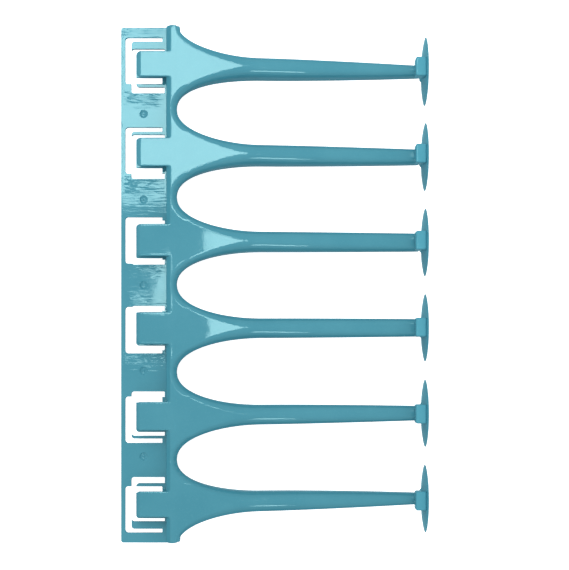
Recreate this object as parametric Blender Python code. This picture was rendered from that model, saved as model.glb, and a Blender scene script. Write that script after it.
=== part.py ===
"""Clip drying hanger: a six-armed comb with end discs and a spring-loaded clip jaw.

The comb is one moulding: a spine along Y, six arms along +X and six fixed clip fingers along -X.
A slotted jaw plate hangs on a steel pin under the spine and closes towards the fingers.
Metres, +Z up. The origin is the centre of the whole object's box.
"""

import math

import bmesh
import bpy
from mathutils import Matrix, Vector

MM = 0.001

# Driving dimensions, in millimetres
LENGTH_X = 178.8            # jaw plate's free edge to the discs' outer face
ARM_COUNT = 6
ROOT_PITCH = 50.7           # arm to arm at the spine
TIP_PITCH = 49.8            # arm to arm at the discs
PITCH_EASE = 1.15           # how soon along the webs the pitch closes to the tips' one
WINDOW_PITCH = 50.0         # window to window in the jaw plate
COMB_TOP_Z = 12.0           # flat face of the webs and the fingers

# Spine
SPINE_X = (-62.3, -56.3)
SPINE_Z = (3.5, 11.96)
SPINE_HALF_Y = 149.4
SPINE_EDGE = 2.7            # broad bevel along the clip side
SPINE_END_INSET = 1.2       # chamfer at both ends
SPINE_END_X = -54.3         # the swollen ends reach a little over the webs
SPINE_END_LONG = 4.1
SPINE_END_Z = (5.0, 11.4)

# Webs and arms; the scallop's curve starts a little past the spine
SCALLOP_LONG = 49.1         # semi-axis of the scallop between arms, along X
SCALLOP_START = 4.0         # degrees
SCALLOP_FULLNESS = 0.92     # 1 is an ellipse; less makes its nose blunter
WEB_OVERLAP = 0.15          # neighbouring webs run into each other at the spine
ROOT_OVERLAP = 1.5          # depth of the webs inside the spine
SIDE_LIMIT_Y = 149.2
WEB_BOTTOM_Z = 4.0
WEB_EDGE = 2.7              # bevel along the webs, rounder along the arms
BEVEL_FLATNESS = 0.55       # 1 is a straight bevel, 0 a quarter round
ARM_HALF_Y = 5.7            # where the scallop ends
ARM_ROOT_BOTTOM_Z = -6.5
ARM_ROOT_ROUND = 5.6
ROUND_FULL_AT = 0.9         # share of the scallop's length where the flat face runs out
ROUND_EASE = 1.5
ARM_TIP_Z = (-6.0, 5.2)
ARM_TIP_HALF_Y = (5.1, 4.2, 3.15)      # inner, middle and outer arms
ARM_TIP_ROUND = 3.1
ARM_TAPER_EASE = 1.5        # above 1 keeps the arms' width longer
ARM_LOWER_ROUND = 1.6
ARM_END_X = 84.6
SPIGOT_R = 2.4
SPIGOT_END_X = 87.1
SPIGOT_BURIED = 2.0
WEB_STEPS = 11
ARM_STEPS = 4
CORNER_STEPS = 5

# Fixed clip fingers
FINGER_END_X = -79.2
FINGER_HALF_Y = (9.3, 8.2, 7.4)        # inner, middle and outer fingers
FINGER_THICK = 3.4
FINGER_TOP_Z = 12.03
FINGER_TIP_BEVEL = 2.0
FINGER_SIDE_BEVEL = 0.4
FINGER_BEVEL_DEEP = 1.3
FINGER_CORNER = 1.4
FINGER_OVERLAP = 1.0        # reach into the spine past its bevel

# Hinge
PIN_X = -59.6
PIN_Z = -0.9
PIN_R = 1.2
PIN_HALF_Y = 148.4
PIN_HEAD_R = 2.1
PIN_HEAD_LONG = 1.0
KNUCKLE_R = 2.6
KNUCKLE_BORE_R = 1.5
COMB_KNUCKLE_LONG = 16.0
COMB_END_KNUCKLE_LONG = 8.0
JAW_KNUCKLE_LONG = 20.0
END_KNUCKLE_INSET = 2.0
EAR_INSET_Y = 0.2           # the ears' blocks stay inside the round knuckles' ends
EAR_INSET_X = (0.1, 0.25)
EAR_OVERLAP = 1.0           # depth of the ears inside the spine
HINGE_SIDES = 20
RETAINER_LONG = 1.8
RETAINER_OFFSET = 0.4       # from the pin's end to the cap's middle
RETAINER_WALL = 0.6         # the cap's socket stops this far short of the outer end
PIN_FIT = 0.3

# Jaw plate and its slots
JAW_THICK = 2.5
JAW_HALF_Y = 150.3
JAW_EDGE_X = -62.7
JAW_CORNER = 1.4
STRAP_LONG = 1.0            # straps start this far inside the plate
STRAP_INSET = 0.25
WINDOW_X = (-83.5, -63.9)
WINDOW_HALF_Y = 12.95
TONGUE_PITCH = 50.35
TONGUE_END_X = -80.6
TONGUE_HALF_Y = 10.2
RELIEF_PITCH = 52.4
RELIEF_X = (-87.0, -65.3)
RELIEF_HALF_Y = 13.55
LIP_PITCH = 52.7
LIP_END_X = -83.3
LIP_HALF_Y = 10.5
SLOT_CORNER = 1.8
DIMPLE_X = -76.2
DIMPLE_R = 2.3
DIMPLE_DEEP = 0.8
DIMPLE_SIDES = 14

# Torsion springs
SPRING_WIRE_R = 0.35
SPRING_COIL_R = 2.05
SPRING_TURNS = 5
SPRING_STEPS = 10
SPRING_PITCH = 0.95
SPRING_LEG = 4.0
SPRING_SIDE_GAP = 3.6       # from the jaw knuckle's end to the coil's middle
SPRING_LEG_DROP = 0.15

# End discs: the profile's sets are (distance in from the outer face, radius)
DISC_R = 19.7
DISC_OUTER = ((0.0, 5.0), (0.35, 12.0), (1.0, DISC_R))
DISC_INNER = ((1.7, DISC_R), (2.7, 12.0))
HUB = ((3.1, 7.4), (3.6, 6.1), (4.5, 5.4))
HUB_BORE_R = 2.7
HUB_BORE_DEEP = 2.0
DISC_SIDES = 32
BRACE_HALF_Y = 5.45
BRACE_X = (80.9, 87.2)
BRACE_Z = (6.1, 16.5)

TEAL = (0.075, 0.33, 0.42, 1.0)
STEEL = (0.62, 0.63, 0.65, 1.0)


def clear_scene():
    for item in list(bpy.data.objects):
        bpy.data.objects.remove(item, do_unlink=True)


def collection(name):
    made = bpy.data.collections.new(name)
    bpy.context.scene.collection.children.link(made)
    return made


def material(name, colour, roughness, metallic):
    made = bpy.data.materials.new(name)
    made.use_nodes = True
    shader = made.node_tree.nodes["Principled BSDF"]
    shader.inputs["Base Color"].default_value = colour
    shader.inputs["Roughness"].default_value = roughness
    shader.inputs["Metallic"].default_value = metallic
    return made


def add_object(name, mesh, target, finish=None):
    made = bpy.data.objects.new(name, mesh)
    target.objects.link(made)
    if finish:
        mesh.materials.append(finish)
    return made


def mesh_from(bm, name):
    bmesh.ops.recalc_face_normals(bm, faces=bm.faces)
    mesh = bpy.data.meshes.new(name)
    bm.to_mesh(mesh)
    bm.free()
    return mesh


def box(name, low, high, target):
    """A box between two corners given in millimetres."""
    bm = bmesh.new()
    bmesh.ops.create_cube(bm, size=1.0)
    for vert in bm.verts:
        vert.co = Vector([(a + (b - a) * (c + 0.5)) * MM for a, b, c in zip(low, high, vert.co)])
    return add_object(name, mesh_from(bm, name), target)


def rod(name, radius, centre, half_long, axis, sides, target):
    """A closed cylinder along X or Y, in millimetres."""
    bm = bmesh.new()
    bmesh.ops.create_cone(
        bm, cap_ends=True, segments=sides, radius1=radius * MM, radius2=radius * MM, depth=2 * half_long * MM
    )
    turn = Matrix.Rotation(math.pi / 2, 4, "Y" if axis == "X" else "X")
    bmesh.ops.transform(bm, matrix=Matrix.Translation(Vector(centre) * MM) @ turn, verts=bm.verts)
    return add_object(name, mesh_from(bm, name), target)


def loft(name, rings, target):
    """A closed skin through rings of equal length, with flat ends."""
    bm = bmesh.new()
    rows = [[bm.verts.new(point * MM) for point in ring] for ring in rings]
    count = len(rings[0])
    for near, far in zip(rows, rows[1:]):
        for k in range(count):
            after = (k + 1) % count
            bm.faces.new((near[k], near[after], far[after], far[k]))
    bm.faces.new(rows[0])
    bm.faces.new(rows[-1])
    return add_object(name, mesh_from(bm, name), target)


def plate(name, outline, low_z, high_z, target):
    """A flat plate with a closed outline of (x, y) points."""
    rings = [[Vector((x, y, z)) for x, y in outline] for z in (low_z, high_z)]
    return loft(name, rings, target)


def rounded_outline(x_range, y_mid, half_y, corner, steps=3, right_square=True):
    """Outline of a rectangle whose corners at low X are rounded, and at high X if asked."""
    low_x, high_x = x_range
    right = 0.0 if right_square else corner
    corners = (
        (high_x - right, half_y - right, right, 0.0),
        (low_x + corner, half_y - corner, corner, 90.0),
        (low_x + corner, corner - half_y, corner, 180.0),
        (high_x - right, right - half_y, right, 270.0),
    )
    points = []
    for x, y, radius, start in corners:
        turns = steps if radius else 0
        for k in range(turns + 1):
            angle = math.radians(start + (90.0 * k / turns if turns else 0.0))
            points.append((x + radius * math.cos(angle), y_mid + y + radius * math.sin(angle)))
    return points


def combine(base, other, operation):
    change = base.modifiers.new(operation.lower(), "BOOLEAN")
    change.operation = operation
    change.solver = "EXACT"
    change.object = other


def apply_all(obj):
    """Replace an object's mesh by what its modifiers make of it."""
    graph = bpy.context.evaluated_depsgraph_get()
    mesh = bpy.data.meshes.new_from_object(obj.evaluated_get(graph))
    obj.modifiers.clear()
    obj.data = mesh


def as_cutter(obj):
    obj.hide_render = True
    obj.display_type = "WIRE"
    return obj


def smooth(obj, angle=35.0):
    obj.data.shade_smooth()
    obj.data.set_sharp_from_angle(angle=math.radians(angle))


def offset(index):
    """Arm number to its place in pitches from the middle, from -2.5 to +2.5."""
    return index - (ARM_COUNT - 1) / 2


def rank(index):
    """0 for the two inner arms, 1 for the middle ones, 2 for the outer ones."""
    return int(abs(offset(index)))


def blend(a, b, t):
    t = min(1.0, max(0.0, t))
    return a + (b - a) * t


def ease(t):
    """Smooth step from 0 to 1 for t from 0 to 1."""
    t = min(1.0, max(0.0, t))
    return t * t * (3.0 - 2.0 * t)


def arm_section(x, index, half_y, bottom_z, upper_round, flatness):
    """Ring of a web or arm at x; flatness 1 makes the upper edges straight bevels, 0 makes them round."""
    along = (x - SPINE_X[1]) / (ARM_END_X - SPINE_X[1])
    mid_y = offset(index) * (TIP_PITCH + (ROOT_PITCH - TIP_PITCH) * (1 - along) ** PITCH_EASE)
    top_z = blend(COMB_TOP_Z, ARM_TIP_Z[1], along)
    ring = []
    for quarter in range(4):
        upper = quarter < 2
        sign_y = 1 if quarter in (0, 3) else -1
        corner = upper_round if upper else ARM_LOWER_ROUND
        centre_y = mid_y + sign_y * (half_y - corner)
        centre_z = top_z - corner if upper else bottom_z + corner
        straight = flatness if upper else 0.0
        start = math.radians(90.0 * quarter)
        end = math.radians(90.0 * (quarter + 1))
        for k in range(CORNER_STEPS):
            part = k / (CORNER_STEPS - 1)
            angle = blend(start, end, part)
            bevel_y = blend(math.cos(start), math.cos(end), part)
            bevel_z = blend(math.sin(start), math.sin(end), part)
            y = centre_y + corner * blend(math.cos(angle), bevel_y, straight)
            z = centre_z + corner * blend(math.sin(angle), bevel_z, straight)
            ring.append(Vector((x, min(SIDE_LIMIT_Y, max(-SIDE_LIMIT_Y, y)), z)))
    return ring


def arm(index, target):
    """Web and arm of one finger pair, from inside the spine to the disc's hub."""
    half_pitch = ROOT_PITCH / 2
    inside = SPINE_X[1] - ROOT_OVERLAP
    rings = [arm_section(inside, index, half_pitch + WEB_OVERLAP, WEB_BOTTOM_Z, WEB_EDGE, BEVEL_FLATNESS)]
    for k in range(WEB_STEPS):
        turn = math.radians(blend(SCALLOP_START, 90.0, k / (WEB_STEPS - 1)))
        x = SPINE_X[1] + SCALLOP_LONG * (1 - math.cos(turn))
        half_y = half_pitch - (half_pitch - ARM_HALF_Y) * math.sin(turn) ** SCALLOP_FULLNESS
        grow = (x - SPINE_X[1]) / SCALLOP_LONG
        bottom_z = blend(WEB_BOTTOM_Z, ARM_ROOT_BOTTOM_Z, math.sin(grow * math.pi / 2))
        rounded = ease((grow / ROUND_FULL_AT) ** ROUND_EASE)
        upper_round = blend(WEB_EDGE, ARM_ROOT_ROUND, rounded)
        rings.append(arm_section(x, index, half_y, bottom_z, upper_round, BEVEL_FLATNESS * (1.0 - rounded)))
    start = SPINE_X[1] + SCALLOP_LONG
    for k in range(1, ARM_STEPS + 1):
        along = k / ARM_STEPS
        half_y = blend(ARM_HALF_Y, ARM_TIP_HALF_Y[rank(index)], along ** ARM_TAPER_EASE)
        bottom_z = blend(ARM_ROOT_BOTTOM_Z, ARM_TIP_Z[0], along)
        upper_round = blend(ARM_ROOT_ROUND, ARM_TIP_ROUND, along)
        rings.append(arm_section(blend(start, ARM_END_X, along), index, half_y, bottom_z, upper_round, 0.0))
    return loft(f"arm_{index + 1}", rings, target)


def arm_tip_y(index):
    return offset(index) * TIP_PITCH


def spine(target):
    low_x, high_x = SPINE_X
    low_z, high_z = SPINE_Z
    profile = [(high_x, low_z), (high_x, high_z), (low_x + SPINE_EDGE, high_z)]
    for k in range(1, 5):
        angle = math.radians(90.0 + 90.0 * k / 4)
        profile.append(
            (low_x + SPINE_EDGE * (1 + math.cos(angle)), high_z - SPINE_EDGE * (1 - math.sin(angle)))
        )
    profile.append((low_x, low_z))
    inset = SPINE_END_INSET
    rings = []
    for y, shrink in (
        (-SPINE_HALF_Y, inset),
        (-SPINE_HALF_Y + inset, 0.0),
        (SPINE_HALF_Y - inset, 0.0),
        (SPINE_HALF_Y, inset),
    ):
        mid_x = (low_x + high_x) / 2
        mid_z = (low_z + high_z) / 2
        ring = []
        for x, z in profile:
            fx = 1 - 2 * shrink / (high_x - low_x)
            fz = 1 - 2 * shrink / (high_z - low_z)
            ring.append(Vector((mid_x + (x - mid_x) * fx, y, mid_z + (z - mid_z) * fz)))
        rings.append(ring)
    return loft("spine", rings, target)


def finger(index, target):
    """Fixed clip finger, flush with the web, with a sloping tip."""
    mid_y = offset(index) * ROOT_PITCH
    half_y = FINGER_HALF_Y[rank(index)]
    x_range = (FINGER_END_X, SPINE_X[0] + SPINE_EDGE + FINGER_OVERLAP)
    outline = rounded_outline(x_range, mid_y, half_y, FINGER_CORNER)
    narrow = 1 - FINGER_SIDE_BEVEL / half_y
    upper = [(max(x, FINGER_END_X + FINGER_TIP_BEVEL), mid_y + (y - mid_y) * narrow) for x, y in outline]
    rings = [
        [Vector((x, y, FINGER_TOP_Z - FINGER_THICK)) for x, y in outline],
        [Vector((x, y, FINGER_TOP_Z - FINGER_BEVEL_DEEP)) for x, y in outline],
        [Vector((x, y, FINGER_TOP_Z)) for x, y in upper],
    ]
    return loft(f"finger_{index + 1}", rings, target)


def comb_knuckles():
    """Middle and length of each knuckle under the spine."""
    middles = [(k * ROOT_PITCH, COMB_KNUCKLE_LONG) for k in range(-2, 3)]
    end = SPINE_HALF_Y - END_KNUCKLE_INSET - COMB_END_KNUCKLE_LONG / 2
    return middles + [(-end, COMB_END_KNUCKLE_LONG), (end, COMB_END_KNUCKLE_LONG)]


def comb_frame(parts, cutters, finish):
    body = spine(parts)
    body.name = "comb_frame"
    pieces = [arm(k, cutters) for k in range(ARM_COUNT)]
    pieces += [finger(k, cutters) for k in range(ARM_COUNT)]
    for k in range(ARM_COUNT):
        middle = (SPIGOT_END_X + ARM_END_X - SPIGOT_BURIED) / 2
        half = (SPIGOT_END_X - ARM_END_X + SPIGOT_BURIED) / 2
        pieces.append(rod(f"spigot_{k + 1}", SPIGOT_R, (middle, arm_tip_y(k), 0.0), half, "X", 12, cutters))
    for side in (-1, 1):
        far = SPINE_HALF_Y - SPINE_END_INSET
        low_y, high_y = sorted((side * (far - SPINE_END_LONG), side * far))
        low = (SPINE_X[1] - ROOT_OVERLAP, low_y, SPINE_END_Z[0])
        pieces.append(box("spine_end", low, (SPINE_END_X, high_y, SPINE_END_Z[1]), cutters))
    for middle, long in comb_knuckles():
        low = (PIN_X - KNUCKLE_R + EAR_INSET_X[0], middle - long / 2 + EAR_INSET_Y, PIN_Z)
        high_x = PIN_X + KNUCKLE_R - EAR_INSET_X[1]
        high = (high_x, middle + long / 2 - EAR_INSET_Y, SPINE_Z[0] + EAR_OVERLAP)
        pieces.append(box("knuckle_block", low, high, cutters))
        centre = (PIN_X, middle, PIN_Z)
        pieces.append(rod("knuckle", KNUCKLE_R, centre, long / 2, "Y", HINGE_SIDES, cutters))
    for piece in pieces:
        combine(body, as_cutter(piece), "UNION")
    bore = rod("comb_bore", KNUCKLE_BORE_R, (PIN_X, 0.0, PIN_Z), SPINE_HALF_Y + 2, "Y", HINGE_SIDES, cutters)
    combine(body, as_cutter(bore), "DIFFERENCE")
    body.data.materials.append(finish)
    apply_all(body)
    smooth(body)
    return body


def jaw_slots(index, cutters):
    """The window and the wider relief slot around one sprung tongue, each U-shaped."""
    slots = []
    for label, pitch, x_range, half_y, inner_pitch, inner_x, inner_half in (
        ("window", WINDOW_PITCH, WINDOW_X, WINDOW_HALF_Y, TONGUE_PITCH, TONGUE_END_X, TONGUE_HALF_Y),
        ("relief", RELIEF_PITCH, RELIEF_X, RELIEF_HALF_Y, LIP_PITCH, LIP_END_X, LIP_HALF_Y),
    ):
        outline = rounded_outline(x_range, offset(index) * pitch, half_y, SLOT_CORNER)
        slot = plate(f"{label}_{index + 1}", outline, -JAW_THICK - 1, 1, cutters)
        inner = (inner_x, x_range[1] + 1)
        outline = rounded_outline(inner, offset(index) * inner_pitch, inner_half, SLOT_CORNER)
        tongue = plate(f"{label}_tongue_{index + 1}", outline, -JAW_THICK - 2, 2, cutters)
        combine(slot, as_cutter(tongue), "DIFFERENCE")
        apply_all(slot)
        slots.append(as_cutter(slot))
    return slots


def clip_jaw(parts, cutters, finish):
    outline = rounded_outline((-LENGTH_X / 2, JAW_EDGE_X), 0.0, JAW_HALF_Y, JAW_CORNER, steps=2)
    body = plate("clip_jaw", outline, -JAW_THICK, 0.0, parts)
    for k in range(ARM_COUNT):
        middle = offset(k) * ROOT_PITCH
        half = JAW_KNUCKLE_LONG / 2
        low = (JAW_EDGE_X - STRAP_LONG, middle - half + EAR_INSET_Y, STRAP_INSET - JAW_THICK)
        high = (PIN_X, middle + half - EAR_INSET_Y, -STRAP_INSET)
        combine(body, as_cutter(box("jaw_strap", low, high, cutters)), "UNION")
        tube = rod("jaw_knuckle", KNUCKLE_R, (PIN_X, middle, PIN_Z), half, "Y", HINGE_SIDES, cutters)
        combine(body, as_cutter(tube), "UNION")
    bore = rod("jaw_bore", KNUCKLE_BORE_R, (PIN_X, 0.0, PIN_Z), JAW_HALF_Y + 2, "Y", HINGE_SIDES, cutters)
    combine(body, as_cutter(bore), "DIFFERENCE")
    for k in range(ARM_COUNT):
        for slot in jaw_slots(k, cutters):
            combine(body, slot, "DIFFERENCE")
    for k in range(-2, 3):
        bm = bmesh.new()
        radius = DIMPLE_R * MM
        depth = 2 * DIMPLE_DEEP * MM
        bmesh.ops.create_cone(
            bm, cap_ends=True, segments=DIMPLE_SIDES, radius1=radius, radius2=radius, depth=depth
        )
        bmesh.ops.translate(bm, vec=Vector((DIMPLE_X, k * WINDOW_PITCH, 0.0)) * MM, verts=bm.verts)
        dimple = add_object("dimple", mesh_from(bm, "dimple"), cutters)
        combine(body, as_cutter(dimple), "DIFFERENCE")
    body.data.materials.append(finish)
    apply_all(body)
    smooth(body)
    return body


def hinge_pin(parts, cutters, finish):
    body = rod("hinge_pin", PIN_R, (PIN_X, 0.0, PIN_Z), PIN_HALF_Y, "Y", HINGE_SIDES, parts)
    centre = (PIN_X, -PIN_HALF_Y, PIN_Z)
    head = rod("pin_head", PIN_HEAD_R, centre, PIN_HEAD_LONG / 2, "Y", HINGE_SIDES, cutters)
    combine(body, as_cutter(head), "UNION")
    body.data.materials.append(finish)
    apply_all(body)
    smooth(body)
    return body


def pin_retainer(parts, cutters, finish):
    """Push-on cap over the pin's plain end."""
    middle = PIN_HALF_Y + RETAINER_OFFSET
    half = RETAINER_LONG / 2
    body = rod("pin_retainer", PIN_HEAD_R, (PIN_X, middle, PIN_Z), half, "Y", HINGE_SIDES, parts)
    centre = (PIN_X, middle - RETAINER_WALL, PIN_Z)
    socket = rod("retainer_bore", PIN_R + PIN_FIT, centre, half + 0.1, "Y", HINGE_SIDES, cutters)
    combine(body, as_cutter(socket), "DIFFERENCE")
    body.data.materials.append(finish)
    apply_all(body)
    smooth(body)
    return body


def torsion_spring(name, side, parts, finish):
    """A coil round the pin with one leg under the jaw plate."""
    middle = side * (ROOT_PITCH / 2 + JAW_KNUCKLE_LONG / 2 + SPRING_SIDE_GAP)
    points = []
    total = SPRING_TURNS * SPRING_STEPS
    for k in range(total + 1):
        angle = -math.pi / 2 - side * 2 * math.pi * k / SPRING_STEPS
        y = middle + side * SPRING_PITCH * (k / SPRING_STEPS - SPRING_TURNS / 2)
        points.append((PIN_X + SPRING_COIL_R * math.cos(angle), y, PIN_Z + SPRING_COIL_R * math.sin(angle)))
    start = points[0]
    drop = PIN_Z - SPRING_COIL_R - SPRING_LEG_DROP
    leg = [(start[0] - SPRING_LEG * t, start[1], blend(start[2], drop, t * 2)) for t in (1.0, 0.6, 0.25)]
    points = leg + points
    curve = bpy.data.curves.new(name, "CURVE")
    curve.dimensions = "3D"
    curve.bevel_depth = SPRING_WIRE_R * MM
    curve.bevel_resolution = 2
    curve.use_fill_caps = True
    spline = curve.splines.new("POLY")
    spline.points.add(len(points) - 1)
    for target, point in zip(spline.points, points):
        target.co = (*(Vector(point) * MM), 1.0)
    made = bpy.data.objects.new(name, curve)
    parts.objects.link(made)
    curve.materials.append(finish)
    return made


def end_disc(index, parts, cutters, finish):
    """Turned disc with a flared hub and a brace above the arm."""
    bore = ((HUB[-1][0], HUB_BORE_R), (HUB_BORE_DEEP, HUB_BORE_R))
    y = arm_tip_y(index)
    rings = []
    for inward, radius in DISC_OUTER + DISC_INNER + HUB + bore:
        ring = []
        for k in range(DISC_SIDES):
            angle = 2 * math.pi * k / DISC_SIDES
            x = LENGTH_X / 2 - inward
            ring.append(Vector((x, y + radius * math.cos(angle), radius * math.sin(angle))))
        rings.append(ring)
    body = loft(f"end_disc_{index + 1}", rings, parts)
    low = (BRACE_X[0], y - BRACE_HALF_Y, BRACE_Z[0])
    high = (BRACE_X[1], y + BRACE_HALF_Y, BRACE_Z[1])
    combine(body, as_cutter(box(f"brace_{index + 1}", low, high, cutters)), "UNION")
    body.data.materials.append(finish)
    apply_all(body)
    smooth(body)
    return body


def main():
    clear_scene()
    parts = collection("clip_drying_hanger")
    cutters = collection("cutters")
    teal = material("teal_plastic", TEAL, 0.22, 0.0)
    steel = material("spring_steel", STEEL, 0.3, 1.0)
    comb_frame(parts, cutters, teal)
    clip_jaw(parts, cutters, teal)
    hinge_pin(parts, cutters, steel)
    pin_retainer(parts, cutters, steel)
    torsion_spring("jaw_spring_left", -1, parts, steel)
    torsion_spring("jaw_spring_right", 1, parts, steel)
    for k in range(ARM_COUNT):
        end_disc(k, parts, cutters, teal)


main()
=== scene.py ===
"""Looks of the clip drying hanger: fine meshes, moulded-plastic and steel materials, studio light.

Lengths are in millimetres and become metres in the mesh helpers. X runs along the arms, Y along the
spine and Z out of the face with the webs, as in the frame.
"""

import math

import bmesh
import bpy
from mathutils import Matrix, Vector


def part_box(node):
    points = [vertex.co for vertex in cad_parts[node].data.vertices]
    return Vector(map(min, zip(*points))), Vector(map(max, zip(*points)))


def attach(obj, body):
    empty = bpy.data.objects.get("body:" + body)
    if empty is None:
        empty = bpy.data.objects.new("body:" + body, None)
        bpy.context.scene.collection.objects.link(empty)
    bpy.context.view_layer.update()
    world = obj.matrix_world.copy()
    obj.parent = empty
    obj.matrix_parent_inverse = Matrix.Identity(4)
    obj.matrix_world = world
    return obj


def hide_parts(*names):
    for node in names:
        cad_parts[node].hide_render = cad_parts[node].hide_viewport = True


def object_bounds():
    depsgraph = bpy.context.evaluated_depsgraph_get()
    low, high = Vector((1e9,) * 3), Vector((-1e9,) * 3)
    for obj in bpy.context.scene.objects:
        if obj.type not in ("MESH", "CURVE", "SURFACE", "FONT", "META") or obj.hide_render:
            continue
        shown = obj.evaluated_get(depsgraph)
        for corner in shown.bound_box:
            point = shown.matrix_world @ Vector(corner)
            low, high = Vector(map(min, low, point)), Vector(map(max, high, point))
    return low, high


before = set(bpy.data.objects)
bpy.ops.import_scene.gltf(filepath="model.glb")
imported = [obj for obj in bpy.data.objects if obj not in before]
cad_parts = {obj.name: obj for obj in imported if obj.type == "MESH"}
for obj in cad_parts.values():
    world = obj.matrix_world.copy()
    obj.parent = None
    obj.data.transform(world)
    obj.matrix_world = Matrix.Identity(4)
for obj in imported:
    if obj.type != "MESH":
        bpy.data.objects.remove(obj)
CAD_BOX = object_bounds()

MM = 0.001
ARM_COUNT = 6


def node_box(name):
    """Corners of a CAD node in millimetres."""
    low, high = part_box(name)
    return [c / MM for c in low], [c / MM for c in high]


COMB_LOW, COMB_HIGH = node_box("comb_frame")
JAW_LOW, JAW_HIGH = node_box("clip_jaw")
DISCS = [node_box(f"end_disc_{k + 1}") for k in range(ARM_COUNT)]
TIP_Y = [(low[1] + high[1]) / 2 for low, high in DISCS]
TIP_PITCH = (TIP_Y[-1] - TIP_Y[0]) / (ARM_COUNT - 1)
DISC_R = (DISCS[0][1][1] - DISCS[0][0][1]) / 2
DISC_OUTER_X = DISCS[0][1][0]

# Comb
ROOT_PITCH = 50.7
TOP_Z = COMB_HIGH[2] - 0.03
SPINE_X = (-62.3, -56.3)
SPINE_Z = (3.5, TOP_Z)
SPINE_HALF_Y = COMB_HIGH[1]
SPINE_END_X = -54.3
SPINE_END_ROUND = 1.4
PITCH_EASE = 1.15
SCALLOP_LONG = 49.1
SCALLOP_FULLNESS = 0.92
WEB_BOTTOM_Z = 4.0
WEB_EDGE = 2.7
WEB_OVERLAP = 2.0           # of the first web ring into the spine
WEB_START_TURN = 0.2        # degrees from the scallop's nose to the first ring beside it
WEB_STEP_EASE = 1.3
BEVEL_FLATNESS = 0.55
NOSE_REACH = 38.0           # degrees of scallop on either side of the nose
NOSE_RISE = 0.5             # lifts the cutter out of the web at its ends
# (inset from the scallop's edge, depth below the face)
NOSE_RINGS = ((-0.8, WEB_EDGE + 0.8), (0.0, WEB_EDGE), (2.0, 0.55), (3.1, 0.08), (4.6, -0.4))
ARM_HALF_Y = 5.7
ARM_ROOT_BOTTOM_Z = -6.5
ARM_ROOT_ROUND = 5.6
ROUND_FULL_AT = 0.9
ROUND_EASE = 1.5
ARM_TIP_Z = (-6.0, 5.2)
ARM_TIP_HALF_Y = (5.1, 4.2, 3.15)
ARM_TIP_ROUND = 3.1
ARM_TAPER_EASE = 1.5
ARM_LOWER_ROUND = 1.6
ARM_END_X = 84.6
SPIGOT_R = 2.4
SPIGOT_END_X = COMB_HIGH[0]
FINGER_END_X = COMB_LOW[0]
FINGER_HALF_Y = (9.3, 8.2, 7.4)
FINGER_THICK = 3.4
FINGER_CORNER = 1.6
FINGER_BEVEL = 2.0
FINGER_BEVEL_DEEP = 1.4
FINGER_DRAFT = 0.7

# Hinge
PIN_X = -59.6
PIN_Z = -0.9
PIN_R = 1.2
PIN_HALF_Y = 148.4
KNUCKLE_R = 2.6
KNUCKLE_BORE_R = 1.5
COMB_KNUCKLE_LONG = 16.0
COMB_END_KNUCKLE_LONG = 8.0
JAW_KNUCKLE_LONG = 20.0
ROD_SIDES = 40

# Jaw plate
JAW_THICK = 2.5
JAW_HALF_Y = JAW_HIGH[1]
JAW_LEFT_X = JAW_LOW[0]
JAW_EDGE_X = -62.7
JAW_CORNER = 1.4
# Two U-shaped slots for each finger, with the tongue that each one leaves
WINDOW = dict(
    pitch=50.0, x=(-83.5, -63.9), half_y=12.95, tongue_pitch=50.35, tongue_x=-80.6, tongue_half=10.2
)
RELIEF = dict(
    pitch=52.4, x=(-87.0, -65.3), half_y=13.55, tongue_pitch=52.7, tongue_x=-83.3, tongue_half=10.5
)
SLOT_CORNER = 1.8
SLOT_MOUTH_CORNER = 0.6
# (height, radius)
DIMPLE_PROFILE = (
    (0.6, 2.45), (0.0, 2.4), (-0.3, 2.05), (-0.58, 1.5), (-0.78, 0.85), (-0.76, 0.6), (-0.5, 0.35)
)
DIMPLE_X = -76.2
DIMPLE_PITCH = 50.0
SINK_X = -75.5
SINK_OFFSET_Y = 8.5

# Springs
SPRING_WIRE_R = 0.35
SPRING_COIL_R = 2.05
SPRING_TURNS = 5
SPRING_PITCH = 0.95
SPRING_LEG = 4.0
SPRING_LEG_DROP = 0.15
SPRING_SIDE_GAP = 3.6       # from the jaw knuckle's end to the coil's middle

# End discs: (distance in from the outer face, radius)
DISC_PROFILE = (
    (0.0, 0.6), (0.0, 2.5), (0.05, 5.0), (0.18, 8.5), (0.4, 12.5),
    (0.72, 16.5), (1.08, DISC_R - 0.9), (1.26, DISC_R - 0.1),
    (1.35, DISC_R), (1.46, DISC_R - 0.1), (1.75, DISC_R - 1.2),
    (2.4, 15.0), (2.8, 11.0), (3.05, 8.4), (3.35, 6.9),
    (3.7, 5.95), (4.2, 5.5), (4.45, 5.3), (4.5, 5.1),
    (4.5, 2.7), (2.0, 2.7),
)
BRACE_X = (81.2, 87.4)
BRACE_HALF_Y = 5.45
BRACE_Z = (6.1, 16.5)
BRACE_EDGE = 1.1

VOXEL = 0.4
SMOOTH_ROUNDS = 8

# Camera, straight down with a shifted lens
PIXELS_PER_MM = 1.71        # at z = 0, across an image 569 wide
IMAGE_WIDTH = 569
CAMERA_HEIGHT = 800.0
CAMERA_X = 6.0
CAMERA_Y = -46.5
VIEW_MIDDLE_Y = 0.1

FLOOR_Z = CAD_BOX[0][2] / MM - 5.0     # leaves room for the open jaw


# ---------------------------------------------------------------- mesh helpers

def new_object(name, mesh):
    made = bpy.data.objects.new(name, mesh)
    bpy.context.scene.collection.objects.link(made)
    return made


def mesh_from(bm, name):
    bmesh.ops.recalc_face_normals(bm, faces=bm.faces)
    mesh = bpy.data.meshes.new(name)
    bm.to_mesh(mesh)
    bm.free()
    return mesh


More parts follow.
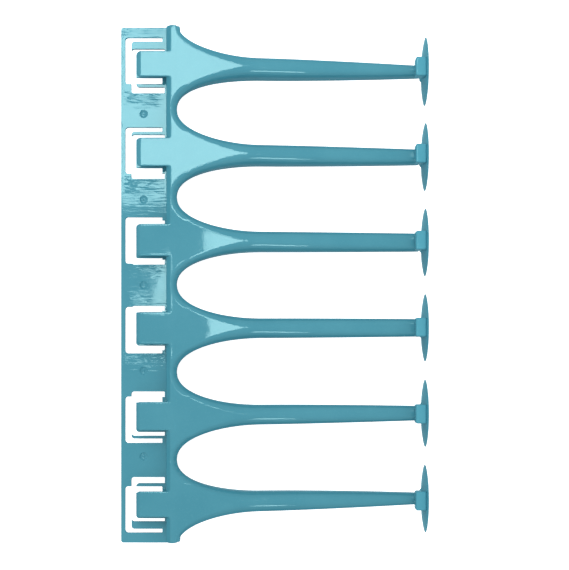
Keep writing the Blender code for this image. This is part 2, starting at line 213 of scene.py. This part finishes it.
def loft(name, rings):
    """A closed skin through rings with equally many points, with flat ends."""
    bm = bmesh.new()
    rows = [[bm.verts.new(Vector(point) * MM) for point in ring] for ring in rings]
    count = len(rings[0])
    for near, far in zip(rows, rows[1:]):
        for k in range(count):
            after = (k + 1) % count
            bm.faces.new((near[k], near[after], far[after], far[k]))
    bm.faces.new(rows[0])
    bm.faces.new(rows[-1])
    return new_object(name, mesh_from(bm, name))


def plate(name, outline, low_z, high_z):
    return loft(name, [[(x, y, z) for x, y in outline] for z in (low_z, high_z)])


def box(name, low, high):
    bm = bmesh.new()
    bmesh.ops.create_cube(bm, size=1.0)
    for vert in bm.verts:
        vert.co = Vector([(a + (b - a) * (c + 0.5)) * MM for a, b, c in zip(low, high, vert.co)])
    return new_object(name, mesh_from(bm, name))


def turned(name, profile, centre, axis, sides):
    """A solid of revolution about X or Y through centre; profile is (distance along, radius)."""
    rings = []
    for along, radius in profile:
        ring = []
        for k in range(sides):
            angle = 2 * math.pi * k / sides
            u, v = radius * math.cos(angle), radius * math.sin(angle)
            offset = (along, u, v) if axis == "X" else (u, along, v)
            ring.append([a + b for a, b in zip(centre, offset)])
        rings.append(ring)
    return loft(name, rings)


def rounded_outline(x_range, y_mid, half_y, corner, steps=8, right_corner=0.0):
    low_x, high_x = x_range
    corners = (
        (high_x - right_corner, half_y - right_corner, right_corner, 0.0),
        (low_x + corner, half_y - corner, corner, 90.0),
        (low_x + corner, corner - half_y, corner, 180.0),
        (high_x - right_corner, right_corner - half_y, right_corner, 270.0),
    )
    points = []
    for x, y, radius, start in corners:
        turns = steps if radius else 0
        for k in range(turns + 1):
            angle = math.radians(start + (90.0 * k / turns if turns else 0.0))
            points.append((x + radius * math.cos(angle), y_mid + y + radius * math.sin(angle)))
    return points


def apply_all(obj):
    graph = bpy.context.evaluated_depsgraph_get()
    mesh = bpy.data.meshes.new_from_object(obj.evaluated_get(graph))
    obj.modifiers.clear()
    obj.data = mesh
    return obj


def remove(obj):
    bpy.data.objects.remove(obj, do_unlink=True)


def boolean(base, others, operation):
    for other in others:
        change = base.modifiers.new("boolean", "BOOLEAN")
        change.operation = operation
        change.solver = "EXACT"
        change.object = other
    apply_all(base)
    for other in others:
        remove(other)
    return base


def bevel(obj, width, segments=3, angle=30.0):
    change = obj.modifiers.new("bevel", "BEVEL")
    change.width = width * MM
    change.segments = segments
    change.limit_method = "ANGLE"
    change.angle_limit = math.radians(angle)
    change.use_clamp_overlap = True
    return apply_all(obj)


def join(name, objects):
    bm = bmesh.new()
    for obj in objects:
        bm.from_mesh(obj.data)
    joined = new_object(name, mesh_from(bm, name))
    for obj in objects:
        remove(obj)
    return joined


def fuse(obj, voxel, rounds):
    """One skin over overlapping solids, with small fillets where they meet."""
    change = obj.modifiers.new("fuse", "REMESH")
    change.mode = "VOXEL"
    change.voxel_size = voxel * MM
    change.use_smooth_shade = True
    ease = obj.modifiers.new("ease", "SMOOTH")
    ease.factor = 0.5
    ease.iterations = rounds
    return apply_all(obj)


def shade(obj, angle=None):
    """Smooth shading; with an angle, flat faces keep true normals and edges above the angle stay sharp."""
    obj.data.shade_smooth()
    if angle:
        obj.data.set_sharp_from_angle(angle=math.radians(angle))
        change = obj.modifiers.new("normals", "WEIGHTED_NORMAL")
        change.mode = "FACE_AREA"
        change.weight = 100
        change.keep_sharp = True


def blend(a, b, t):
    t = min(1.0, max(0.0, t))
    return a + (b - a) * t


def ease(t):
    """Smooth step from 0 to 1 for t from 0 to 1."""
    t = min(1.0, max(0.0, t))
    return t * t * (3.0 - 2.0 * t)


def offset(index):
    return index - (ARM_COUNT - 1) / 2


def rank(index):
    return int(abs(offset(index)))


# ---------------------------------------------------------------- pieces

def pitch_at(x):
    along = (x - SPINE_X[1]) / (ARM_END_X - SPINE_X[1])
    return TIP_PITCH + (ROOT_PITCH - TIP_PITCH) * max(0.0, 1 - along) ** PITCH_EASE


def top_at(x):
    """Height of the sloping upper face at x."""
    return blend(TOP_Z, ARM_TIP_Z[1], (x - SPINE_X[1]) / (ARM_END_X - SPINE_X[1]))


def scallop_at(turn):
    """Distance along X and half width of a scallop at a turn from its nose, in radians."""
    half_gap = (ROOT_PITCH / 2 - ARM_HALF_Y) * math.sin(abs(turn)) ** SCALLOP_FULLNESS
    return SPINE_X[1] + SCALLOP_LONG * (1 - math.cos(turn)), half_gap


def nose_bevel(number):
    """Cutter for the bevel round the nose of the scallop at number pitches from the middle."""
    steps, reach = 24, math.radians(NOSE_REACH)
    path = []
    for k in range(-steps, steps + 1):
        turn = reach * k / steps
        x, half_gap = scallop_at(turn)
        rise = NOSE_RISE * ease(4.0 * abs(k) / steps - 3.0)     # over the last quarter
        path.append((x, number * pitch_at(x) + math.copysign(half_gap, turn), rise))
    rings = []
    for inset, depth in NOSE_RINGS:
        ring = []
        for k, (x, y, rise) in enumerate(path):
            before, after = path[max(0, k - 1)], path[min(len(path) - 1, k + 1)]
            along_x, along_y = after[0] - before[0], after[1] - before[1]
            scale = inset / math.hypot(along_x, along_y)
            moved_x = x - along_y * scale
            ring.append((moved_x, y + along_x * scale, top_at(moved_x) - depth + rise))
        rings.append(ring)
    return loft("nose_bevel", rings)


def arm_section(x, index, half_y, bottom_z, upper_round, flatness):
    """Ring of a web or arm at x; flatness 1 makes the upper edges straight bevels, 0 makes them round."""
    steps = 10
    mid_y = offset(index) * pitch_at(x)
    top_z = top_at(x)
    limit = SPINE_HALF_Y - 0.25
    ring = []
    for quarter in range(4):
        upper = quarter < 2
        sign_y = 1 if quarter in (0, 3) else -1
        corner = upper_round if upper else ARM_LOWER_ROUND
        centre_y = mid_y + sign_y * (half_y - corner)
        centre_z = top_z - corner if upper else bottom_z + corner
        straight = flatness if upper else 0.0
        start = math.radians(90.0 * quarter)
        end = math.radians(90.0 * (quarter + 1))
        for k in range(steps):
            part = k / (steps - 1)
            angle = blend(start, end, part)
            bevel_y = blend(math.cos(start), math.cos(end), part)
            bevel_z = blend(math.sin(start), math.sin(end), part)
            y = centre_y + corner * blend(math.cos(angle), bevel_y, straight)
            z = centre_z + corner * blend(math.sin(angle), bevel_z, straight)
            ring.append((x, min(limit, max(-limit, y)), z))
    return ring


def arm(index):
    half_pitch = ROOT_PITCH / 2
    web_steps, arm_steps = 48, 24
    start = SPINE_X[1] - WEB_OVERLAP
    rings = [arm_section(start, index, half_pitch + 0.15, WEB_BOTTOM_Z, WEB_EDGE, BEVEL_FLATNESS)]
    for k in range(web_steps):
        turn = blend(WEB_START_TURN, 90.0, (k / (web_steps - 1)) ** WEB_STEP_EASE)
        x, half_gap = scallop_at(math.radians(turn))
        half_y = half_pitch - half_gap
        grow = (x - SPINE_X[1]) / SCALLOP_LONG
        bottom_z = blend(WEB_BOTTOM_Z, ARM_ROOT_BOTTOM_Z, math.sin(grow * math.pi / 2))
        rounded = ease((grow / ROUND_FULL_AT) ** ROUND_EASE)
        upper_round = blend(WEB_EDGE, ARM_ROOT_ROUND, rounded)
        flatness = BEVEL_FLATNESS * (1.0 - rounded)
        rings.append(arm_section(x, index, half_y, bottom_z, upper_round, flatness))
    start = SPINE_X[1] + SCALLOP_LONG
    for k in range(1, arm_steps + 1):
        along = k / arm_steps
        half_y = blend(ARM_HALF_Y, ARM_TIP_HALF_Y[rank(index)], along ** ARM_TAPER_EASE)
        bottom_z = blend(ARM_ROOT_BOTTOM_Z, ARM_TIP_Z[0], along)
        upper_round = blend(ARM_ROOT_ROUND, ARM_TIP_ROUND, along)
        x = blend(start, ARM_END_X, along)
        rings.append(arm_section(x, index, half_y, bottom_z, upper_round, 0.0))
    return loft("arm", rings)


def spine():
    """The bar behind the webs, with a broad bevel along the clip side."""
    low_x, high_x = SPINE_X
    low_z, high_z = SPINE_Z
    back_x = high_x - 1.0       # inside the webs
    profile = [(back_x, low_z), (back_x, high_z), (low_x + WEB_EDGE, high_z)]
    profile += [(low_x, high_z - WEB_EDGE), (low_x, low_z)]
    mid_x, mid_z = (low_x + high_x) / 2, (low_z + high_z) / 2
    steps = 6
    stations = []
    for k in range(steps + 1):
        turn = math.radians(90.0 * k / steps)
        shrink = SPINE_END_ROUND * (1 - math.sin(turn))
        y = SPINE_HALF_Y - SPINE_END_ROUND * (1 - math.sin(math.pi / 2 - turn))
        stations.append((y, shrink))
    stations = [(-y, shrink) for y, shrink in stations] + stations[::-1]
    rings = []
    for y, shrink in stations:
        fx = 1 - 2 * shrink / (high_x - low_x)
        fz = 1 - 2 * shrink / (high_z - low_z)
        rings.append([(mid_x + (x - mid_x) * fx, y, mid_z + (z - mid_z) * fz) for x, z in profile])
    return loft("spine", rings)


def finger(index):
    """Fixed clip finger, flush with the web, with a broad bevel at its tip."""
    mid_y = offset(index) * ROOT_PITCH
    half_y = FINGER_HALF_Y[rank(index)]
    root_x = SPINE_X[0] + WEB_EDGE + 1.5        # inside the spine
    outline = rounded_outline((FINGER_END_X, root_x), mid_y, half_y, FINGER_CORNER)
    upper = [(max(x, FINGER_END_X + FINGER_BEVEL), y) for x, y in outline]
    low = TOP_Z - FINGER_THICK
    draft = 1 - FINGER_DRAFT / half_y
    rings = [[(x, mid_y + (y - mid_y) * draft, low) for x, y in outline]]
    rings.append([(x, y, TOP_Z - FINGER_BEVEL_DEEP) for x, y in outline])
    rings.append([(x, y, TOP_Z) for x, y in upper])
    return loft("finger", rings)


def comb():
    gaps = range(-2, 3)
    solids = [boolean(spine(), [nose_bevel(k) for k in gaps], "DIFFERENCE")]
    for k in range(ARM_COUNT):
        near = [nose_bevel(gap) for gap in gaps if abs(gap - offset(k)) < 1]
        solids.append(boolean(arm(k), near, "DIFFERENCE"))
    solids += [finger(k) for k in range(ARM_COUNT)]
    for k in range(ARM_COUNT):
        profile = [(ARM_END_X - 3.0, SPIGOT_R), (SPIGOT_END_X, SPIGOT_R)]
        solids.append(turned("spigot", profile, (0.0, TIP_Y[k], 0.0), "X", 32))
    for side in (-1, 1):
        low_y, high_y = sorted((side * (SPINE_HALF_Y - 6.0), side * (SPINE_HALF_Y - 0.9)))
        low = (SPINE_X[1] - WEB_OVERLAP, low_y, 5.0)
        solids.append(box("spine_end", low, (SPINE_END_X, high_y, TOP_Z - 0.7)))
    made = fuse(join("comb", solids), VOXEL, SMOOTH_ROUNDS)
    shade(made)
    return made


def knuckle_tube(middle, length):
    half = length / 2
    profile = [(-half, KNUCKLE_R), (half, KNUCKLE_R)]
    return turned("knuckle", profile, (PIN_X, middle, PIN_Z), "Y", ROD_SIDES)


def pin_bore():
    half = SPINE_HALF_Y + 4
    profile = [(-half, KNUCKLE_BORE_R), (half, KNUCKLE_BORE_R)]
    return turned("bore", profile, (PIN_X, 0.0, PIN_Z), "Y", ROD_SIDES)


def comb_knuckles():
    """The ears under the spine that carry the pin."""
    end = SPINE_HALF_Y - 2.0 - COMB_END_KNUCKLE_LONG / 2
    places = [(k * ROOT_PITCH, COMB_KNUCKLE_LONG) for k in range(-2, 3)]
    places += [(-end, COMB_END_KNUCKLE_LONG), (end, COMB_END_KNUCKLE_LONG)]
    ears = []
    for middle, length in places:
        low = (PIN_X - KNUCKLE_R + 0.1, middle - length / 2 + 0.1, PIN_Z)
        high = (PIN_X + KNUCKLE_R - 0.25, middle + length / 2 - 0.1, SPINE_Z[0] + 0.6)
        ears.append(boolean(knuckle_tube(middle, length), [box("ear", low, high)], "UNION"))
    made = join("comb_knuckles", ears)
    boolean(made, [pin_bore()], "DIFFERENCE")
    bevel(made, 0.25)
    shade(made, 40)
    return made


def slot_cutter(index, rule):
    """U-shaped cutter that leaves a tongue in the plate."""
    middle = offset(index) * rule["pitch"]
    mouth = SLOT_MOUTH_CORNER
    outline = rounded_outline(rule["x"], middle, rule["half_y"], SLOT_CORNER, right_corner=mouth)
    slot = plate("slot", outline, -JAW_THICK - 1, 1)
    middle = offset(index) * rule["tongue_pitch"]
    x_range = (rule["tongue_x"], rule["x"][1] + 1)
    outline = rounded_outline(x_range, middle, rule["tongue_half"], SLOT_CORNER)
    return boolean(slot, [plate("tongue", outline, -JAW_THICK - 2, 2)], "DIFFERENCE")


def dimple_cutter(number):
    """Shallow round sink with a raised pip in the middle."""
    rings = []
    for z, radius in DIMPLE_PROFILE:
        ring = []
        for k in range(ROD_SIDES):
            angle = 2 * math.pi * k / ROD_SIDES
            x = DIMPLE_X + radius * math.cos(angle)
            ring.append((x, number * DIMPLE_PITCH + radius * math.sin(angle), z))
        rings.append(ring)
    return loft("dimple", rings)


def jaw():
    """The slotted strip with its straps and knuckles."""
    outline = rounded_outline((JAW_LEFT_X, JAW_EDGE_X), 0.0, JAW_HALF_Y, JAW_CORNER)
    made = plate("jaw", outline, -JAW_THICK, 0.0)
    added = []
    for k in range(ARM_COUNT):
        middle = offset(k) * ROOT_PITCH
        half = JAW_KNUCKLE_LONG / 2
        low = (JAW_EDGE_X - 1.0, middle - half + 0.2, -JAW_THICK + 0.25)
        added.append(box("strap", low, (PIN_X, middle + half - 0.2, -0.25)))
        added.append(knuckle_tube(middle, JAW_KNUCKLE_LONG))
    boolean(made, added, "UNION")
    cutters = [pin_bore()]
    for k in range(ARM_COUNT):
        cutters += [slot_cutter(k, WINDOW), slot_cutter(k, RELIEF)]
    cutters += [dimple_cutter(k) for k in range(-2, 3)]
    boolean(made, cutters, "DIFFERENCE")
    bevel(made, 0.3)
    shade(made, 40)
    return made


def end_disc(index):
    """Domed stop disc with a flared hub and a brace above the arm."""
    profile = [(DISC_OUTER_X - inward, radius) for inward, radius in DISC_PROFILE]
    made = turned(f"disc_{index + 1}", profile, (0.0, TIP_Y[index], 0.0), "X", 128)
    low = (BRACE_X[0], TIP_Y[index] - BRACE_HALF_Y, BRACE_Z[0])
    high = (BRACE_X[1], TIP_Y[index] + BRACE_HALF_Y, BRACE_Z[1])
    brace = bevel(box("brace", low, high), BRACE_EDGE, segments=5)
    boolean(made, [brace], "UNION")
    bevel(made, 0.18, segments=2, angle=45.0)
    shade(made, 50)
    return made


def steel_pin():
    """Hinge pin with a rounded head at the low end of Y."""
    profile = [(-PIN_HALF_Y - 0.5, 1.5), (-PIN_HALF_Y - 0.35, 2.0), (-PIN_HALF_Y - 0.1, 2.1)]
    profile += [(-PIN_HALF_Y + 0.4, 2.1), (-PIN_HALF_Y + 0.5, 2.0), (-PIN_HALF_Y + 0.5, PIN_R)]
    profile += [(PIN_HALF_Y - 0.3, PIN_R), (PIN_HALF_Y, PIN_R - 0.25)]
    made = turned("steel_pin", profile, (PIN_X, 0.0, PIN_Z), "Y", ROD_SIDES)
    shade(made, 40)
    return made


def steel_cap():
    """Push-on retainer over the pin's plain end."""
    middle = PIN_HALF_Y + 0.4
    profile = [(-0.9, PIN_R + 0.3), (-0.9, 1.9), (-0.75, 2.1), (0.6, 2.1), (0.82, 1.9), (0.9, 1.5)]
    made = turned("steel_cap", profile, (PIN_X, middle, PIN_Z), "Y", ROD_SIDES)
    profile = [(-2.0, PIN_R + 0.3), (0.4, PIN_R + 0.3)]
    socket = turned("socket", profile, (PIN_X, middle, PIN_Z), "Y", ROD_SIDES)
    boolean(made, [socket], "DIFFERENCE")
    shade(made, 40)
    return made


def spring(side):
    """Torsion coil round the pin with one leg under the jaw plate."""
    middle = side * (ROOT_PITCH / 2 + JAW_KNUCKLE_LONG / 2 + SPRING_SIDE_GAP)
    steps = 24
    points = []
    for k in range(SPRING_TURNS * steps + 1):
        angle = -math.pi / 2 - side * 2 * math.pi * k / steps
        y = middle + side * SPRING_PITCH * (k / steps - SPRING_TURNS / 2)
        x = PIN_X + SPRING_COIL_R * math.cos(angle)
        points.append((x, y, PIN_Z + SPRING_COIL_R * math.sin(angle)))
    start_x, start_y, start_z = points[0]
    drop = PIN_Z - SPRING_COIL_R - SPRING_LEG_DROP
    leg = []
    for t in (1.0, 0.6, 0.25, 0.1):
        leg.append((start_x - SPRING_LEG * t, start_y, blend(start_z, drop, t * 2)))
    name = "spring_left" if side < 0 else "spring_right"
    curve = bpy.data.curves.new(name, "CURVE")
    curve.dimensions = "3D"
    curve.bevel_depth = SPRING_WIRE_R * MM
    curve.bevel_resolution = 4
    curve.use_fill_caps = True
    spline = curve.splines.new("POLY")
    spline.points.add(len(leg) + len(points) - 1)
    for target, point in zip(spline.points, leg + points):
        target.co = (*(Vector(point) * MM), 1.0)
    return new_object(name, curve)


# ---------------------------------------------------------------- materials

class Nodes:
    """Short calls for building a node tree."""

    def __init__(self, material):
        material.use_nodes = True
        self.tree = material.node_tree
        self.shader = self.tree.nodes["Principled BSDF"]
        self.place = self.tree.nodes.new("ShaderNodeTexCoord").outputs["Object"]

    def add(self, kind, **values):
        node = self.tree.nodes.new(kind)
        for key, value in values.items():
            if hasattr(node, key):
                setattr(node, key, value)
            else:
                node.inputs[key.replace("_", " ")].default_value = value
        return node

    def link(self, source, target):
        self.tree.links.new(source, target)

    def stretched(self, scale):
        node = self.add("ShaderNodeMapping")
        node.inputs["Scale"].default_value = scale
        self.link(self.place, node.inputs["Vector"])
        return node.outputs["Vector"]

    def noise(self, scale, detail=4.0, rough=0.5, stretch=(1, 1, 1)):
        node = self.add("ShaderNodeTexNoise", Scale=scale, Detail=detail, Roughness=rough)
        self.link(self.stretched(stretch), node.inputs["Vector"])
        return node.outputs["Fac"]

    def ramp(self, source, low, high, to_low=0.0, to_high=1.0):
        node = self.add("ShaderNodeMapRange")
        node.inputs["From Min"].default_value = low
        node.inputs["From Max"].default_value = high
        node.inputs["To Min"].default_value = to_low
        node.inputs["To Max"].default_value = to_high
        self.link(source, node.inputs["Value"])
        return node.outputs["Result"]

    def math(self, operation, *values):
        node = self.add("ShaderNodeMath", operation=operation)
        for socket, value in zip(node.inputs, values):
            if isinstance(value, float):
                socket.default_value = value
            else:
                self.link(value, socket)
        return node.outputs["Value"]

    def mix(self, factor, first, second):
        node = self.add("ShaderNodeMix", data_type="RGBA")
        self.link(factor, node.inputs["Factor"])
        for slot, value in (("A", first), ("B", second)):
            socket = [s for s in node.inputs if s.name == slot and s.type == "RGBA"][0]
            if isinstance(value, tuple):
                socket.default_value = value
            else:
                self.link(value, socket)
        return [s for s in node.outputs if s.type == "RGBA"][0]

    def bump(self, height, distance, strength=1.0, before=None):
        node = self.add("ShaderNodeBump", Strength=strength, Distance=distance)
        self.link(height, node.inputs["Height"])
        if before:
            self.link(before, node.inputs["Normal"])
        return node.outputs["Normal"]


TEAL = (0.063, 0.270, 0.350)
TEAL_DEEP = (0.053, 0.250, 0.330)
TEAL_PALE = (0.080, 0.298, 0.374)


def sink_marks(nodes):
    """Mask of the ragged sink marks beside every dimple of the jaw plate."""
    apart = nodes.add("ShaderNodeSeparateXYZ")
    nodes.link(nodes.place, apart.inputs["Vector"])
    x_gap = nodes.math("ABSOLUTE", nodes.math("ADD", apart.outputs["X"], -SINK_X * MM))
    turned_y = nodes.math("ADD", apart.outputs["Y"], -SINK_OFFSET_Y * MM)
    half = DIMPLE_PITCH * MM / 2
    y_gap = nodes.math("ABSOLUTE", nodes.math("WRAP", turned_y, half, -half))
    band = nodes.math("MULTIPLY", nodes.ramp(x_gap, 0.012, 0.005), nodes.ramp(y_gap, 0.006, 0.002))
    ragged = nodes.ramp(nodes.noise(170.0, 2.0, 0.5, (0.4, 1.0, 1.0)), 0.28, 0.5)
    stray = nodes.ramp(nodes.noise(85.0, 2.0, 0.5, (0.5, 1.0, 1.0)), 0.62, 0.7, 0.0, 0.5)
    marked = nodes.math("MAXIMUM", nodes.math("MULTIPLY", band, ragged), stray)
    return nodes.math("MULTIPLY", marked, nodes.ramp(apart.outputs["Y"], 0.01, 0.04, 0.12, 1.0))


def plastic(name, waves=1.0, streaks=1.0, marks=0.0, shine=1.5, lift=1.0):
    """Glossy moulded polypropylene: faint mottling, sink waves, flow streaks and fine scuffs."""
    made = bpy.data.materials.new(name)
    nodes = Nodes(made)
    cloud = nodes.ramp(nodes.noise(38.0, 3.0), 0.35, 0.65)
    speck = nodes.ramp(nodes.noise(900.0, 2.0), 0.55, 0.8)
    deep, middle, pale = [(*(lift * c for c in tone), 1.0) for tone in (TEAL_DEEP, TEAL, TEAL_PALE)]
    colour = nodes.mix(cloud, deep, middle)
    grain = nodes.ramp(nodes.noise(190.0, 3.0), 0.4, 0.7, 0.0, 0.3)
    colour = nodes.mix(grain, colour, deep)
    colour = nodes.mix(nodes.ramp(speck, 0.0, 1.0, 0.0, 0.35), colour, pale)
    nodes.link(colour, nodes.shader.inputs["Base Color"])
    scuff = nodes.noise(260.0, 5.0, 0.65, (0.25, 1.0, 1.0))
    nodes.link(nodes.ramp(scuff, 0.3, 0.8, 0.02, 0.05), nodes.shader.inputs["Roughness"])
    skin = nodes.bump(nodes.noise(60.0, 2.0), 0.00013 * waves, 0.5)
    skin = nodes.bump(nodes.noise(170.0, 2.0), 0.000012 * waves, 0.6, skin)
    flow = nodes.noise(650.0, 1.5, 0.5, (0.14, 1.0, 0.4))
    skin = nodes.bump(flow, 0.000004 * streaks, 0.6, skin)
    if marks:
        height = nodes.math("MULTIPLY", sink_marks(nodes), nodes.math("SUBTRACT", flow, 0.5))
        skin = nodes.bump(height, 0.00012 * marks, 0.7, skin)
    skin = nodes.bump(nodes.noise(1500.0, 2.0), 0.000006, 0.4, skin)
    nodes.link(skin, nodes.shader.inputs["Normal"])
    nodes.shader.inputs["IOR"].default_value = shine
    nodes.shader.inputs["Specular Tint"].default_value = (0.62, 1.0, 1.0, 1.0)
    return made


def steel():
    """Drawn steel: fine lines along the wire and faint darker patches."""
    made = bpy.data.materials.new("drawn_steel")
    nodes = Nodes(made)
    patches = nodes.ramp(nodes.noise(120.0, 3.0), 0.35, 0.7)
    colour = nodes.mix(patches, (0.52, 0.53, 0.55, 1.0), (0.68, 0.69, 0.71, 1.0))
    nodes.link(colour, nodes.shader.inputs["Base Color"])
    lines = nodes.noise(2200.0, 3.0, 0.6, (1.0, 0.08, 1.0))
    nodes.link(nodes.ramp(lines, 0.3, 0.7, 0.22, 0.42), nodes.shader.inputs["Roughness"])
    nodes.link(nodes.bump(lines, 0.00002, 0.5), nodes.shader.inputs["Normal"])
    nodes.shader.inputs["Metallic"].default_value = 1.0
    return made


def floor_material():
    """Pale table that hardly takes a shadow as the camera sees it; to all other rays it is a dim dark
    teal, which paints shade into the plastic's reflections of it.
    """
    made = bpy.data.materials.new("pale_floor")
    nodes = Nodes(made)
    tone = nodes.mix(nodes.noise(6.0, 2.0), (0.93, 0.93, 0.93, 1.0), (0.96, 0.96, 0.96, 1.0))
    seen = nodes.add("ShaderNodeLightPath").outputs["Is Camera Ray"]
    # Camera rays see the pale tone. Other rays see dark teal, which is painted shade for the plastic's
    # side faces that mirror the floor.
    nodes.link(nodes.mix(seen, (0.17, 0.42, 0.50, 1.0), tone), nodes.shader.inputs["Base Color"])
    nodes.link(nodes.ramp(seen, 0.0, 1.0, 0.05, 0.75), nodes.shader.inputs["Emission Strength"])
    nodes.shader.inputs["Roughness"].default_value = 0.9
    nodes.shader.inputs["Specular IOR Level"].default_value = 0.0
    nodes.shader.inputs["Emission Color"].default_value = (1.0, 1.0, 1.0, 1.0)
    return made


def dress(obj, material, body, slot, *nodes):
    obj.data.materials.clear()
    obj.data.materials.append(material)
    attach(obj, body)
    if nodes:
        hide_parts(*nodes)


# ---------------------------------------------------------------- scene

def build_pieces():
    comb_plastic = plastic("comb_plastic", lift=0.96)
    jaw_plastic = plastic("jaw_plastic", waves=0.55, streaks=9.0, marks=10.0)
    # The discs get a lighter copy of the plastic: painted light that makes up for the shade on their steep
    # faces.
    disc_plastic = plastic("disc_plastic", shine=1.45, lift=1.2)
    metal = steel()
    dress(comb(), comb_plastic, "frame", "comb_plastic", "comb_frame")
    dress(comb_knuckles(), comb_plastic, "frame", "comb_plastic")
    dress(jaw(), jaw_plastic, "jaw", "jaw_plastic", "clip_jaw")
    for k in range(ARM_COUNT):
        dress(end_disc(k), disc_plastic, "frame", "disc_plastic", f"end_disc_{k + 1}")
    dress(steel_pin(), metal, "frame", "spring_steel", "hinge_pin")
    dress(steel_cap(), metal, "frame", "spring_steel", "pin_retainer")
    dress(spring(-1), metal, "jaw", "spring_steel", "jaw_spring_left")
    dress(spring(1), metal, "jaw", "spring_steel", "jaw_spring_right")


def floor():
    half_side = 3.0     # metres
    bm = bmesh.new()
    bmesh.ops.create_grid(bm, x_segments=1, y_segments=1, size=half_side)
    bmesh.ops.translate(bm, vec=(0.0, 0.0, FLOOR_Z * MM), verts=bm.verts)
    made = new_object("floor", mesh_from(bm, "floor"))
    made.data.materials.append(floor_material())


def camera():
    data = bpy.data.cameras.new("camera")
    data.sensor_width = 36.0
    data.lens = data.sensor_width * CAMERA_HEIGHT / (IMAGE_WIDTH / PIXELS_PER_MM)
    data.shift_y = (VIEW_MIDDLE_Y - CAMERA_Y) * PIXELS_PER_MM / IMAGE_WIDTH
    data.clip_start = 0.01
    data.clip_end = 20.0
    made = bpy.data.objects.new("camera", data)
    made.location = (CAMERA_X * MM, CAMERA_Y * MM, CAMERA_HEIGHT * MM)
    bpy.context.scene.collection.objects.link(made)
    bpy.context.scene.camera = made


# Softboxes straight above the face: (name, X, Y, size along X, size along Y, radiance)
SOFTBOX_Z = 800.0
OVERHEAD = (
    ("long_window", -73.5, 245.0, 227.0, 204.0, 9.2),
    ("small_window", 18.5, 47.0, 49.0, 140.0, 9.2),
    ("slit", -138.0, 47.0, 16.0, 62.0, 9.2),
    ("upper_window", -73.5, 530.0, 227.0, 340.0, 7.5),
    ("upper_bar", -153.0, 29.0, 40.0, 8.0, 9.2),
    ("lower_bar", -156.0, -33.0, 44.0, 7.0, 9.2),
)


def softbox(name, centre, size, radiance, aim):
    """A rectangular area light of that radiance; centre, size and aim in millimetres."""
    data = bpy.data.lights.new(name, "AREA")
    data.shape = "RECTANGLE"
    data.size, data.size_y = size[0] * MM, size[1] * MM
    data.energy = radiance * math.pi * data.size * data.size_y
    made = bpy.data.objects.new(name, data)
    made.location = Vector(centre) * MM
    look = Vector(aim) * MM - made.location
    made.rotation_euler = look.to_track_quat("-Z", "Y").to_euler()
    bpy.context.scene.collection.objects.link(made)


def lights():
    """A dome brighter overhead than at the horizon, and softboxes that the flat faces mirror."""
    world = bpy.data.worlds.new("studio")
    bpy.context.scene.world = world
    world.use_nodes = True
    tree = world.node_tree
    background = tree.nodes["Background"]
    place = tree.nodes.new("ShaderNodeTexCoord")
    split = tree.nodes.new("ShaderNodeSeparateXYZ")
    height = tree.nodes.new("ShaderNodeMapRange")
    height.inputs["From Min"].default_value = 0.0
    height.inputs["From Max"].default_value = 0.95
    height.inputs["To Min"].default_value = 0.75
    height.inputs["To Max"].default_value = 0.9
    tree.links.new(place.outputs["Generated"], split.inputs["Vector"])
    tree.links.new(split.outputs["Z"], height.inputs["Value"])
    tree.links.new(height.outputs["Result"], background.inputs["Strength"])
    background.inputs["Color"].default_value = (1.0, 1.0, 1.0, 1.0)
    for name, x, y, size_x, size_y, radiance in OVERHEAD:
        softbox(name, (x, y, SOFTBOX_Z), (size_x, size_y), radiance, (x, y, 0.0))
    softbox("far_strip", (163.0, -2140.0, 2100.0), (205.0, 560.0), 9.2, (40.0, 0.0, 0.0))


def settings():
    view = bpy.context.scene.view_settings
    view.view_transform = "Standard"
    view.look = "None"
    view.exposure = 0.0
    view.gamma = 1.0


camera()
lights()
settings()
floor()
build_pieces()
